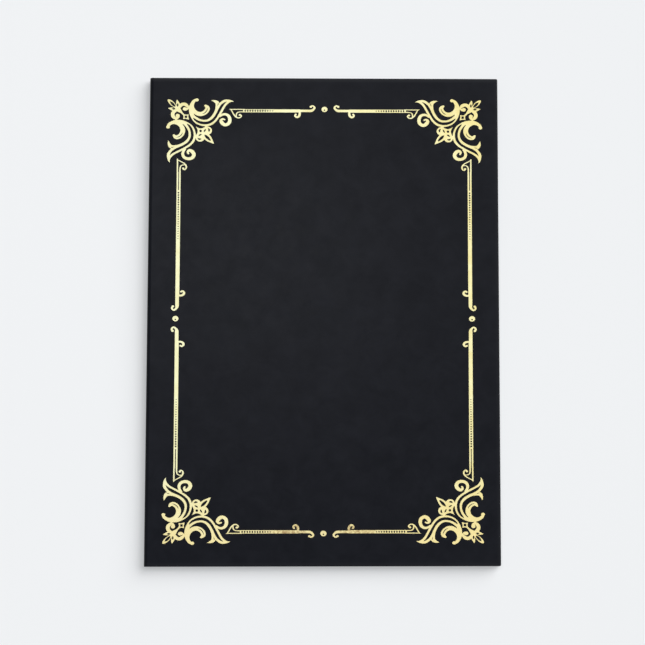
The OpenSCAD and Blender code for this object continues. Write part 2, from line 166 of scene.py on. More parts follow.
class CoverSizes(bpy.types.PropertyGroup):
    """Sizes of the soft and bent pieces that are modelled on the part."""

    covering: length("Covering", "Thickness of the imitation leather", 0.0004, 0.0002, 0.0006)
    turn_in: length(
        "Turn-in", "Width of the covering turned in behind a board", 0.015, 0.008, 0.022)
    corner: length(
        "Corner", "Radius of the panels' fore corners, from the front", 0.0009, 0.0005, 0.003)
    edge: length(
        "Edge", "Radius at which the covering folds over an edge", 0.0007, 0.0005, 0.001)
    seam: length(
        "Mitre seam", "Breadth of the seam between two turn-ins", 0.0003, 0.0001, 0.0006)
    cloth: length(
        "Hinge cloth", "Thickness of the cloth in the hinge", 0.0004, 0.0002, 0.0006)
    cloth_bend: length(
        "Cloth bend", "Radius at which the cloth bends over a board", 0.0006, 0.0005, 0.001)
    ribbon: length("Ribbon", "Width of each corner ribbon", 0.016, 0.008, 0.025)
    ribbon_thick: length(
        "Ribbon thickness", "Thickness of the ribbon", 0.00025, 0.0001, 0.0004)
    ribbon_reach: length(
        "Ribbon reach", "Distance along the card's edge from its corner to the ribbon's middle",
        0.04, 0.025, 0.06)
    ribbon_tail: length(
        "Ribbon tail", "Length of ribbon tucked under the lining card", 0.012, 0.004, 0.025)
    ribbon_fold: length(
        "Ribbon fold", "Radius at which the ribbon folds over the card's edge",
        0.0003, 0.00026, 0.0005)


class CoverColours(bpy.types.PropertyGroup):
    """Colours of the holder's materials."""

    leather_dark: colour(
        "Covering, dark", "Darker patches of the covering", (0.0024, 0.0030, 0.0054))
    leather_light: colour(
        "Covering, light", "Lighter patches of the covering", (0.0058, 0.0066, 0.0100))
    # Painted highlight: the lighter colour put on the covering's rims, strongest at the head
    leather_rim_highlight: colour(
        "Covering, rims", "Highlighted rims of the covering", (0.0145, 0.0155, 0.0185))
    # Cream and yellow of the foil: random patches, and also its painted highlight by the spine and
    # its painted shade to the fore edge, the tail and the corners
    foil_cream_and_highlight: colour("Foil, light", "Cream patches of the foil", (0.746, 0.738, 0.462))
    foil_yellow_and_shade: colour("Foil, deep", "Yellow patches of the foil", (0.659, 0.573, 0.243))
    # Painted shade: a deeper, warmer gold along the tail
    foil_tail_shade: colour("Foil, warm", "Warmer gold along the tail", (0.79, 0.657, 0.31))
    # Painted shade: darker brown patches on the tail's rules
    foil_rule_shade: colour("Foil, darkened", "Duller patches along the tail", (0.27, 0.16, 0.06))
    cloth_warp: colour(
        "Hinge cloth, raised", "Threads on top of the hinge cloth", (0.020, 0.020, 0.022))
    cloth_weft: colour(
        "Hinge cloth, sunk", "Gaps between the cloth's threads", (0.006, 0.006, 0.007))
    ribbon_light: colour(
        "Ribbon, light", "Raised threads of the satin ribbon", (0.022, 0.022, 0.025))
    ribbon_dark: colour(
        "Ribbon, dark", "Sunk threads of the satin ribbon", (0.008, 0.008, 0.009))
    lining_light: colour(
        "Lining, light", "Light bands of the watered lining card", (0.86, 0.81, 0.70))
    lining_dark: colour(
        "Lining, dark", "Dark bands of the watered lining card", (0.76, 0.69, 0.56))
    board_light: colour("Board, light", "Pale fibres of the grey board", (0.42, 0.40, 0.35))
    board_dark: colour("Board, dark", "Dark fibres of the grey board", (0.28, 0.26, 0.23))
    film: colour("Film", "Tint of the clear sheet", (0.90, 0.95, 0.97))
    backdrop: colour("Backdrop", "Floor and the room behind it", (0.863, 0.880, 0.896))


class StageSettings(bpy.types.PropertyGroup):
    """Camera and light."""

    eye: bpy.props.FloatVectorProperty(
        name="Eye", description="Place of the camera", default=(0.0201, -0.1493, 1.1963), size=3,
        subtype="TRANSLATION", unit="LENGTH",
    )
    tilt: bpy.props.FloatVectorProperty(
        name="Tilt", description="Turn of the camera from looking straight down", size=3,
        subtype="EULER", unit="ROTATION",
        default=(math.radians(6.542), math.radians(-1.207), math.radians(-0.098)),
    )
    lens: bpy.props.FloatProperty(
        name="Lens", description="Focal length of the camera", default=106.07, min=20, max=300,
        unit="CAMERA",
    )
    crop: bpy.props.FloatVectorProperty(
        name="Crop", description="Shift of the picture, as the photograph is cropped", size=2,
        default=(-0.113, 0.026),
    )
    lamp: amount("Lamp", "Strength of the soft lamp that casts the shadow", 4.05, 0, 20)
    window: amount("Window", "Strength of the broad lamp overhead, in watts", 1.5, 0, 50)
    room: amount("Room", "Light that comes from the whole room", 0.1, 0, 2)
    haze: amount("Floor haze", "Share of the floor that shadow doesn't darken", 0.46, 0, 1)


def sizes():
    """The panel's sizes."""
    return bpy.context.scene.holder_sizes


def colours():
    """The panel's colours."""
    return bpy.context.scene.holder_colours


# Modelling tools ----------------------------------------------------------------------------


def name_piece(name):
    """Names the new piece and puts its place into its mesh."""
    piece = bpy.context.object
    piece.name = name
    piece.data.name = name
    bpy.ops.object.transform_apply(location=True, rotation=True, scale=True)
    return piece


def select_only(piece):
    """Selects one piece, and works on it from here on."""
    bpy.ops.object.select_all(action="DESELECT")
    piece.select_set(True)
    bpy.context.view_layer.objects.active = piece


def add_block(name, low, high):
    """A block between two corners, to start a piece from."""
    bpy.ops.object.select_all(action="DESELECT")
    bpy.ops.mesh.primitive_cube_add(size=1, location=(low + high) / 2, scale=high - low)
    return name_piece(name)


def add_strip(name, centre, width, breadth, turn=(0, 0, 0)):
    """A flat strip with its middle at a place, to start a piece from."""
    bpy.ops.object.select_all(action="DESELECT")
    bpy.ops.mesh.primitive_plane_add(size=1, location=centre, rotation=turn)
    bpy.context.object.scale = (width, breadth, 1)
    return name_piece(name)


def edit():
    """Starts shaping the piece."""
    bpy.ops.object.mode_set(mode="EDIT")


def leave():
    """Ends shaping the piece."""
    bpy.ops.object.mode_set(mode="OBJECT")


def pick(kind, wanted):
    """Selects the faces, edges or corners for which wanted() is true, and nothing else."""
    bpy.ops.mesh.select_mode(type=kind)
    bpy.ops.mesh.select_all(action="DESELECT")
    mesh = bpy.context.object.data
    shape = bmesh.from_edit_mesh(mesh)
    parts = {"FACE": shape.faces, "EDGE": shape.edges, "VERT": shape.verts}[kind]
    for part in parts:
        part.select_set(bool(wanted(part)))
    shape.select_flush_mode()
    bmesh.update_edit_mesh(mesh)


def lies_on(part, side, reach):
    """True if all corners of a face or edge lie on the plane at reach towards side."""
    return all(abs(corner.co.dot(side) - reach) < NEAR for corner in part.verts)


def runs_along(edge, way):
    """True if an edge runs along a way rather than across it."""
    run = (edge.verts[0].co - edge.verts[1].co).normalized()
    return abs(run.dot(way)) > 0.5


def cut(place, side, keep_outside=True):
    """Cuts what is selected along a plane, and takes off what is beyond it unless it is kept."""
    bpy.ops.mesh.bisect(
        plane_co=place, plane_no=side, use_fill=False, clear_inner=False,
        clear_outer=not keep_outside, threshold=NEAR,
    )


def extrude(way):
    """Pulls new faces out of what is selected."""
    bpy.ops.mesh.extrude_region_move(TRANSFORM_OT_translate={"value": way})


def round_off(reach, steps, kind="EDGES"):
    """Rounds the selected edges or corners."""
    bpy.ops.mesh.bevel(offset=reach, segments=steps, affect=kind)


def thicken(piece, thickness):
    """Gives a skin its thickness, behind its outer side."""
    bpy.ops.object.modifier_add(type="SOLIDIFY")
    skin = piece.modifiers[-1]
    skin.thickness = thickness
    skin.offset = -1
    skin.use_even_offset = True
    skin.use_quality_normals = True
    bpy.ops.object.modifier_apply(modifier=skin.name)


def smooth():
    """Shades the piece smooth where its faces meet at a small angle."""
    bpy.ops.object.shade_smooth_by_angle(angle=SMOOTH_BELOW)


def even_out(*pieces):
    """Lets the flat faces of closed pieces keep an even shading up to their rounded edges."""
    for piece in pieces:
        select_only(piece)
        bpy.ops.object.modifier_add(type="WEIGHTED_NORMAL")
        shading = piece.modifiers[-1]
        shading.keep_sharp = True
        bpy.ops.object.modifier_apply(modifier=shading.name)


def face_outwards():
    """Turns all faces of a closed piece outwards."""
    edit()
    bpy.ops.mesh.select_all(action="SELECT")
    bpy.ops.mesh.normals_make_consistent(inside=False)
    leave()


def copy_mirrored(piece, name, flips, centre):
    """Copies a closed piece and its mesh, mirrored about centre where flips has a -1."""
    select_only(piece)
    bpy.ops.object.duplicate(linked=False)
    twin = name_piece(name)
    edit()
    bpy.ops.mesh.select_all(action="SELECT")
    bpy.ops.transform.resize(value=flips, center_override=centre)
    leave()
    face_outwards()
    return twin


def finish_piece(piece, material, slot, *nodes):
    """Gives a piece its material, and hides the nodes that it stands for."""
    piece.data.materials.clear()
    piece.data.materials.append(material)
    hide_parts(*nodes)


def finish_node(name, material):
    """Gives a node of the part its material."""
    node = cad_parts[name]
    node.data.materials.clear()
    node.data.materials.append(material)


# Material tools -----------------------------------------------------------------------------


def place(tree, kind, sockets=None, **settings):
    """Adds a node, with values or links for its sockets."""
    node = tree.nodes.new(kind)
    node.location = (220 * len(tree.nodes), 0)
    for name, value in settings.items():
        setattr(node, name, value)
    for socket, value in (sockets or {}).items():
        if isinstance(value, bpy.types.NodeSocket):
            tree.links.new(value, node.inputs[socket])
        else:
            node.inputs[socket].default_value = value
    return node


def sum_of(tree, operation, first, second):
    """Result of a sum of two values."""
    return place(tree, "ShaderNodeMath", {0: first, 1: second}, operation=operation).outputs[0]


def one_value(tree, operation, value):
    """Result of a sum that takes one value, such as its sine."""
    return place(tree, "ShaderNodeMath", {0: value}, operation=operation).outputs[0]


def between(tree, share, first, second):
    """Colour between two colours."""
    mix = place(tree, "ShaderNodeMix", {0: share, 6: first, 7: second}, data_type="RGBA")
    return mix.outputs[2]


def spread(tree, value, low, high, to_low, to_high):
    """Value moved from one range to another, and kept in it."""
    sockets = {
        "Value": value, "From Min": low, "From Max": high, "To Min": to_low, "To Max": to_high,
    }
    return place(tree, "ShaderNodeMapRange", sockets).outputs["Result"]


def by_share(tree, share, at_none, at_all):
    """Value that goes from one number to another as a share goes from 0 to 1."""
    return spread(tree, share, 0.0, 1.0, at_none, at_all)


def shared_group(name, inputs, outputs, build):
    """A node group that several materials use, made once."""
    if name in bpy.data.node_groups:
        return bpy.data.node_groups[name]
    group = bpy.data.node_groups.new(name, "ShaderNodeTree")
    for socket, kind in inputs:
        group.interface.new_socket(name=socket, in_out="INPUT", socket_type=kind)
    for socket, kind in outputs:
        group.interface.new_socket(name=socket, in_out="OUTPUT", socket_type=kind)
    given = group.nodes.new("NodeGroupInput").outputs
    result = build(group, given)
    last = group.nodes.new("NodeGroupOutput")
    for socket, value in result.items():
        group.links.new(value, last.inputs[socket])
    return group


def clouds_group():
    """Soft patches between two limits: mottling of colour and gloss."""
    noise_low, noise_high = 0.32, 0.68

    def build(group, given):
        noise = place(group, "ShaderNodeTexNoise", {
            "Vector": given["Vector"], "Scale": given["Scale"], "Detail": 5.0,
            "Roughness": 0.62, "Distortion": 0.4,
        }).outputs["Fac"]
        return {"Share": spread(group, noise, noise_low, noise_high, given["Low"], given["High"])}

    return shared_group(
        "Clouds",
        [("Vector", "NodeSocketVector"), ("Scale", "NodeSocketFloat"),
         ("Low", "NodeSocketFloat"), ("High", "NodeSocketFloat")],
        [("Share", "NodeSocketFloat")],
        build,
    )


def grain_group():
    """Small pebbles with fine pores between them: leather grain and card fibres."""
    pores_per_pebble = 2.7
    pebble_depth = 0.7

    def build(group, given):
        pebbles = place(group, "ShaderNodeTexVoronoi", {
            "Vector": given["Vector"], "Scale": given["Scale"], "Randomness": 0.9,
        })
        finer = sum_of(group, "MULTIPLY", given["Scale"], pores_per_pebble)
        pores = place(group, "ShaderNodeTexNoise", {
            "Vector": given["Vector"], "Scale": finer, "Detail": 3.0, "Roughness": 0.6,
        })
        sunk = sum_of(group, "MULTIPLY", pebbles.outputs["Distance"], pebble_depth)
        fine = sum_of(group, "MULTIPLY", pores.outputs["Fac"], given["Pores"])
        return {"Height": sum_of(group, "SUBTRACT", fine, sunk)}

    return shared_group(
        "Grain",
        [("Vector", "NodeSocketVector"), ("Scale", "NodeSocketFloat"),
         ("Pores", "NodeSocketFloat")],
        [("Height", "NodeSocketFloat")],
        build,
    )


def weave_group():
    """Threads that pass over and under each other, from 0 in the gaps to 1 on top."""

    def build(group, given):
        along = place(group, "ShaderNodeSeparateXYZ", {0: given["Vector"]})
        warp_turn = sum_of(group, "MULTIPLY", along.outputs["X"], given["Warp"])
        weft_turn = sum_of(group, "MULTIPLY", along.outputs["Y"], given["Weft"])
        warp = one_value(group, "SINE", warp_turn)
        weft = one_value(group, "SINE", weft_turn)
        over = sum_of(group, "MULTIPLY", warp, weft)
        return {"Height": spread(group, over, -1.0, 1.0, 0.0, 1.0)}

    return shared_group(
        "Weave",
        [("Vector", "NodeSocketVector"), ("Warp", "NodeSocketFloat"),
         ("Weft", "NodeSocketFloat")],
        [("Height", "NodeSocketFloat")],
        build,
    )


def clouds(tree, where, scale, low, high):
    """Soft patches between two limits, as many to the metre as scale says."""
    sockets = {"Vector": where, "Scale": scale, "Low": low, "High": high}
    return place(tree, "ShaderNodeGroup", sockets, node_tree=clouds_group()).outputs[0]


def grain(tree, where, scale, pores):
    """Pebbles, as many to the metre as scale says, with pores of a depth."""
    sockets = {"Vector": where, "Scale": scale, "Pores": pores}
    return place(tree, "ShaderNodeGroup", sockets, node_tree=grain_group()).outputs[0]


def weave(tree, where, warp, weft):
    """Woven threads, as close as warp and weft say."""
    sockets = {"Vector": where, "Warp": warp, "Weft": weft}
    return place(tree, "ShaderNodeGroup", sockets, node_tree=weave_group()).outputs[0]


def new_material(name):
    """An empty material, with its tree and the place on the piece."""
    material = bpy.data.materials.new(name)
    material.use_nodes = True
    tree = material.node_tree
    tree.nodes.clear()
    where = place(tree, "ShaderNodeTexCoord").outputs["Object"]
    return material, tree, where


def finish_material(tree, sockets):
    """Ends a material with its surface."""
    surface = place(tree, "ShaderNodeBsdfPrincipled", sockets)
    place(tree, "ShaderNodeOutputMaterial", {"Surface": surface.outputs[0]})


def solid(tint):
    """A colour with full alpha, for a socket."""
    return (*tint, 1.0)


def relief(tree, height, strength, depth):
    """Normals of a surface with a relief, whose depth is in metres."""
    sockets = {"Height": height, "Strength": strength, "Distance": depth}
    return place(tree, "ShaderNodeBump", sockets).outputs["Normal"]


def painted_rim_highlight(tree, way):
    """Share of the painted highlight on the rims: full at the head's rim, less at the tail's and
    the fore edge's.
    """
    head = spread(tree, way["Y"], cad_high.y - RIM_HIGHLIGHT_START, cad_high.y - RIM_HIGHLIGHT_FULL, 0.0, 1.0)
    tail = spread(tree, way["Y"], cad_low.y + RIM_HIGHLIGHT_FULL, cad_low.y + RIM_HIGHLIGHT_START, RIM_HIGHLIGHT_SHARE, 0.0)
    fore = spread(tree, way["X"], cad_high.x - RIM_HIGHLIGHT_START, cad_high.x - RIM_HIGHLIGHT_FULL, 0.0, RIM_HIGHLIGHT_SHARE)
    return sum_of(tree, "MAXIMUM", head, sum_of(tree, "MAXIMUM", tail, fore))


def leather_material():
    """Matt black imitation leather: fine grain, faint mottling, and a painted highlight at its
    rims.
    """
    if "Matt Black Covering" in bpy.data.materials:
        return bpy.data.materials["Matt Black Covering"]
    material, tree, where = new_material("Matt Black Covering")
    patches = clouds(tree, where, 80.0, 0.0, 1.0)
    gloss = clouds(tree, where, 130.0, 0.31, 0.37)
    pebbles = grain(tree, where, 1500.0, 0.5)
    tint = between(tree, patches, solid(colours().leather_dark), solid(colours().leather_light))
    way = place(tree, "ShaderNodeSeparateXYZ", {0: where}).outputs
    # Painted highlight mixed onto the covering's rims
    rim_highlighted = between(tree, painted_rim_highlight(tree, way), tint, solid(colours().leather_rim_highlight))
    finish_material(tree, {
        "Base Color": rim_highlighted, "Roughness": gloss, "Specular IOR Level": 0.08,
        "Normal": relief(tree, pebbles, strength=0.35, depth=0.00006),
    })
    return material


def foil_patches_and_painted_light(tree, way, off_middle, patches):
    """Share of cream in the foil: random patches, a painted highlight by the spine, and painted
    shade to the fore edge, the tail and the corners.
    """
    off_dots = one_value(tree, "ABSOLUTE", way["Y"])
    to_spine = spread(tree, way["X"], *PAINTED_HIGHLIGHT_TO_SPINE)
    to_tail = spread(tree, way["Y"], *PAINTED_SHADE_TO_TAIL)
    to_side = spread(tree, off_middle, *CORNER_SHADE_TO_SIDE)
    to_end = spread(tree, off_dots, *CORNER_SHADE_TO_END)
    depth = spread(tree, way["Y"], *PAINTED_CORNER_SHADE)
    shaded_corners = sum_of(tree, "MULTIPLY", depth, sum_of(tree, "MULTIPLY", to_side, to_end))
    painted_light = sum_of(tree, "ADD", to_spine, to_tail)
    return sum_of(tree, "ADD", painted_light, sum_of(tree, "ADD", shaded_corners, patches))


def foil_rule_shade_share(tree, where, way, off_middle):
    """Share of painted shade on the foil: darker patches on the tail's rules, between their hooks
    and their beads.
    """
    tail = spread(tree, way["Y"], *RULE_SHADE_TO_TAIL)
    past_hooks = spread(tree, off_middle, *RULE_SHADE_PAST_HOOKS)
    before_beads = spread(tree, off_middle, *RULE_SHADE_BEFORE_BEADS)
    rules = sum_of(tree, "MULTIPLY", tail, sum_of(tree, "MULTIPLY", past_hooks, before_beads))
    specks = clouds(tree, where, 520.0, -0.15, 1.15)
    return sum_of(tree, "MULTIPLY", rules, by_share(tree, specks, 0.05, 1.0))


def foil_material():
    """Pale gold foil with its light and shade painted in: a cream highlight by the spine, yellow
    shade at the corners, and warm shade and darker patches at the tail.
    """
    material, tree, where = new_material("Gold Foil")
    patches = clouds(tree, where, 110.0, 0.32, 0.92)
    gloss = clouds(tree, where, 260.0, 0.5, 0.6)
    pebbles = grain(tree, where, 1500.0, 0.5)
    way = place(tree, "ShaderNodeSeparateXYZ", {0: where}).outputs
    off_middle = one_value(tree, "ABSOLUTE", way["X"])
    # Cream share: random patches plus the painted highlight and shade
    pale = foil_patches_and_painted_light(tree, way, off_middle, patches)
    cool = between(tree, pale, solid(colours().foil_yellow_and_shade), solid(colours().foil_cream_and_highlight))
    # Painted shade: deeper, warmer gold along the tail
    tail_shade = spread(tree, way["Y"], *WARM_SHADE_TO_TAIL)
    tint = between(tree, tail_shade, cool, solid(colours().foil_tail_shade))
    # Painted shade: darker brown patches on the tail's rules
    rule_shade = foil_rule_shade_share(tree, where, way, off_middle)
    finish_material(tree, {
        "Base Color": between(tree, rule_shade, tint, solid(colours().foil_rule_shade)),
        "Metallic": 0.4, "Roughness": gloss,
        "Normal": relief(tree, pebbles, strength=0.2, depth=0.00003),
    })
    return material


def cloth_material():
    """Black book cloth: plain weave with small slubs."""
    material, tree, where = new_material("Black Book Cloth")
    slubs = clouds(tree, where, 400.0, 0.75, 1.0)
    height = sum_of(tree, "MULTIPLY", weave(tree, where, 9000.0, 9000.0), slubs)
    finish_material(tree, {
        "Base Color": between(
            tree, height, solid(colours().cloth_weft), solid(colours().cloth_warp)),
        "Roughness": by_share(tree, height, 0.9, 0.72),
        "Sheen Weight": 0.15, "Specular IOR Level": 0.3,
        "Normal": relief(tree, height, strength=0.5, depth=0.0001),
    })
    return material


def satin_material():
    """Black satin ribbon: long threads across a fine weft, with a matt edge on both sides."""
    material, tree, _where = new_material("Black Satin")
    across = place(tree, "ShaderNodeUVMap", uv_map="ribbon").outputs["UV"]
    threads = weave(tree, across, 2600.0, 14000.0)
    sides = place(tree, "ShaderNodeSeparateXYZ", {0: across}).outputs["Y"]
    off_middle = one_value(tree, "ABSOLUTE", sides)
    half = sizes().ribbon / 2
    edge = spread(tree, off_middle, half - SELVAGE_START, half - SELVAGE_FULL, 0.0, 1.0)
    height = sum_of(tree, "ADD", threads, edge)
    finish_material(tree, {
        "Base Color": between(
            tree, threads, solid(colours().ribbon_dark), solid(colours().ribbon_light)),
        "Roughness": by_share(tree, edge, 0.34, 0.6),
        "Sheen Weight": 0.2, "Anisotropic": 0.5, "Specular IOR Level": 0.5,
        "Normal": relief(tree, height, strength=0.3, depth=0.00006),
    })
    return material


def lining_material():
    """Ivory lining card with a watered pattern: long wavy bands that catch the light."""
    bend_reach = (0.03, 0.008, 0.0)
    stretch = (1.0, 0.12, 1.0)
    material, tree, where = new_material("Watered Lining Card")
    drift = place(tree, "ShaderNodeTexNoise", {
        "Vector": where, "Scale": 14.0, "Detail": 3.0, "Roughness": 0.5,
    }).outputs["Color"]
    shift = place(
        tree, "ShaderNodeVectorMath", {0: drift, 1: bend_reach}, operation="MULTIPLY").outputs[0]
    bent = place(
        tree, "ShaderNodeVectorMath", {0: where, 1: shift}, operation="ADD").outputs[0]
    wide = place(tree, "ShaderNodeTexWave", {
        "Vector": bent, "Scale": 26.0, "Distortion": 3.0, "Detail": 2.0, "Detail Scale": 0.4,
    }, bands_direction="X").outputs["Fac"]
    long_grain = place(tree, "ShaderNodeMapping", {"Vector": bent, "Scale": stretch}).outputs[0]
    streaks = clouds(tree, long_grain, 260.0, 0.0, 1.0)
    fibres = grain(tree, where, 1300.0, 0.8)
    bands = sum_of(tree, "MULTIPLY", wide, streaks)
    finish_material(tree, {
        "Base Color": between(
            tree, bands, solid(colours().lining_light), solid(colours().lining_dark)),
        "Roughness": by_share(tree, bands, 0.62, 0.44), "Specular IOR Level": 0.4,
        "Normal": relief(tree, fibres, strength=0.15, depth=0.00004),
    })
    return material


def board_material():
    """Grey board: pale and dark fibres, rough."""
    material, tree, where = new_material("Grey Board")
    patches = clouds(tree, where, 300.0, 0.0, 1.0)
    fibres = grain(tree, where, 700.0, 1.0)
    finish_material(tree, {
        "Base Color": between(
            tree, patches, solid(colours().board_dark), solid(colours().board_light)),
        "Roughness": by_share(tree, patches, 0.95, 0.86), "Specular IOR Level": 0.25,
        "Normal": relief(tree, fibres, strength=0.3, depth=0.0001),
    })
    return material


def film_material():
    """Clear plastic sheet with faint rub marks."""
    material, tree, where = new_material("Clear Film")
    rubs = clouds(tree, where, 35.0, 0.05, 0.14)
    finish_material(tree, {
        "Base Color": solid(colours().film), "Roughness": rubs, "Alpha": 0.14, "IOR": 1.5,
    })
    return material


# Covering -----------------------------------------------------------------------------------


def folded_covering(name, node, outside, hinges, window):
    """Covering folded round a board, in one skin: outer side, edges and turn-ins.

    outside is the way that its outer side faces. hinges are the ways to the edges at which it
    goes on in a bent strip. window is how far the opening behind the board reaches towards the
    fore edge, or None where it reaches all the way.
    """
    low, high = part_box(node)
    ways = (outside, -outside, *hinges)
    reach = {tuple(way): max(low.dot(way), high.dot(way)) for way in ways}

    def on(part, way):
        return lies_on(part, way, reach[tuple(way)])

    def at_hinge(part):
        return any(on(part, hinge) for hinge in hinges)

    half = high.y - sizes().turn_in
    piece = add_block(name, low, high)
    edit()
    if window is not None:
        pick("EDGE", lambda edge: not at_hinge(edge) and runs_along(edge, outside))
        round_off(sizes().corner, EDGE_STEPS)
    pick("EDGE", lambda edge: (on(edge, outside) or on(edge, -outside)) and not at_hinge(edge))
    round_off(sizes().edge, EDGE_STEPS)
    for end in (TO_HEAD, -TO_HEAD):
        pick("FACE", lambda face: on(face, -outside) or at_hinge(face))
        cut(end * half, end)
    if window is not None:
        pick("FACE", lambda face: on(face, -outside)
             and abs(face.calc_center_median().y) < half)
        cut((window, 0, 0), TO_FORE)
        for end in (TO_HEAD, -TO_HEAD):
            pick("FACE", lambda face: on(face, -outside)
                 and face.calc_center_median().dot(end) > half)
            cut((window, end.y * half, 0), TO_FORE - end)
        mitre_seams(outside, reach[tuple(-outside)], window, half)
    pick("FACE", lambda face: abs(face.calc_center_median().y) < half and (
        at_hinge(face)
        or (on(face, -outside) and face.calc_center_median().x < (window or high.x))))
    bpy.ops.mesh.delete(type="FACE")
    leave()
    thicken(piece, sizes().covering)
    smooth()
    return piece


def mitre_seams(outside, inner, window, half):
    """Presses a narrow groove along the diagonal on which two turn-ins meet."""

    def on_diagonal(corner):
        return abs(corner.co.dot(-outside) - inner) < NEAR and abs(
            (corner.co.x - window) - (abs(corner.co.y) - half)) < NEAR

    pick("EDGE", lambda edge: all(on_diagonal(corner) for corner in edge.verts))
    round_off(sizes().seam / 2, SEAM_STEPS)
    pick("VERT", on_diagonal)
    bpy.ops.transform.translate(value=outside * sizes().seam / 2)


def bent_strip(name, inner, outer, half, doubled):
    """Quarter of a tube between two radii, bent round the spine's lower edge.

    half is how far it reaches to the head and the tail, and doubled is from where on it is
    doubled towards both, or None where it isn't.
    """
    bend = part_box("spine_wrap")[0].z
    middle = Vector((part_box("back_wrap")[0].x, 0, bend))
    bottom = bend - outer
    thickness = outer - inner
    centre = (middle.x, 0, bottom + thickness / 2)
    piece = add_strip(name, centre, thickness, 2 * half, (0, math.pi / 2, 0))
    edit()
    if doubled is not None:
        for end in (TO_HEAD, -TO_HEAD):
            bpy.ops.mesh.select_all(action="SELECT")
            cut(end * doubled, end)
        pick("EDGE", lambda edge: lies_on(edge, UP, bottom + thickness)
             and all(abs(corner.co.y) > doubled - NEAR for corner in edge.verts))
        extrude(UP * thickness)
        pick("VERT", lambda corner: abs(abs(corner.co.y) - half) < NEAR
             and abs(corner.co.z - bottom - thickness) > NEAR)
        round_off(thickness * TAPER_SHARE, FOLD_STEPS, "VERTICES")
    bpy.ops.mesh.select_all(action="SELECT")
    bpy.ops.mesh.spin(steps=BEND_STEPS, angle=-math.pi / 2, center=middle, axis=(0, 1, 0))
    leave()
    face_outwards()
    smooth()
    return piece


def cover_middle():
    """Point midway between the two covers, which are each other's mirror images about it."""
    return Vector((0, 0, (cad_low.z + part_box("front_wrap")[1].z) / 2))


def front_copy(piece, name):
    """Copy of a piece of the back cover on the front cover, as its mirror image."""
    return copy_mirrored(piece, name, (1, 1, -1), cover_middle())


def blend_strips(back, front):
    """Puts the places of the bent strips into their meshes."""
    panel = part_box("back_wrap")[0]
    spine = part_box("spine_wrap")[0]
    start = Vector((panel.x, 0, panel.z))
    end = Vector((spine.x, 0, spine.z))
    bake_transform(back)
    mirror = 2 * cover_middle().z
    start.z = mirror - start.z
    end.z = mirror - end.z
    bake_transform(front)


class AddCoverings(bpy.types.Operator):
    """Fold the matt black covering round both boards"""

    bl_idname = "holder.add_coverings"
    bl_label = "Panel Coverings"
    bl_options = {"REGISTER", "UNDO"}

    def execute(self, context):
        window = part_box("back_wrap")[1].x - sizes().turn_in
        back = folded_covering("back_covering", "back_wrap", -UP, [TO_SPINE], window)
        front = front_copy(back, "front_covering")
        even_out(back, front)
        finish_piece(back, leather_material(), "covering", "back_wrap")
        finish_piece(front, leather_material(), "covering", "front_wrap")
        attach(back, "back_cover")
        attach(front, "front_cover")
        return {"FINISHED"}


class AddSpine(bpy.types.Operator):
    """Fold the covering round the spine's strip and bend it into both covers"""

    bl_idname = "holder.add_spine"
    bl_label = "Spine Covering"
    bl_options = {"REGISTER", "UNDO"}

    def execute(self, context):
        spine = folded_covering("spine_covering", "spine_wrap", TO_SPINE, [-UP, UP], None)
        even_out(spine)
        finish_piece(spine, leather_material(), "covering", "spine_wrap")
        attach(spine, "spine")
        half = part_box("back_wrap")[1].y
        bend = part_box("spine_wrap")[0].z
        inner = bend - sizes().covering
        back = bent_strip("back_fold", inner, bend, half, half - sizes().turn_in)
        front = front_copy(back, "front_fold")
        finish_piece(back, leather_material(), "covering", "back_crease")
        finish_piece(front, leather_material(), "covering", "front_crease")
        blend_strips(back, front)
        return {"FINISHED"}


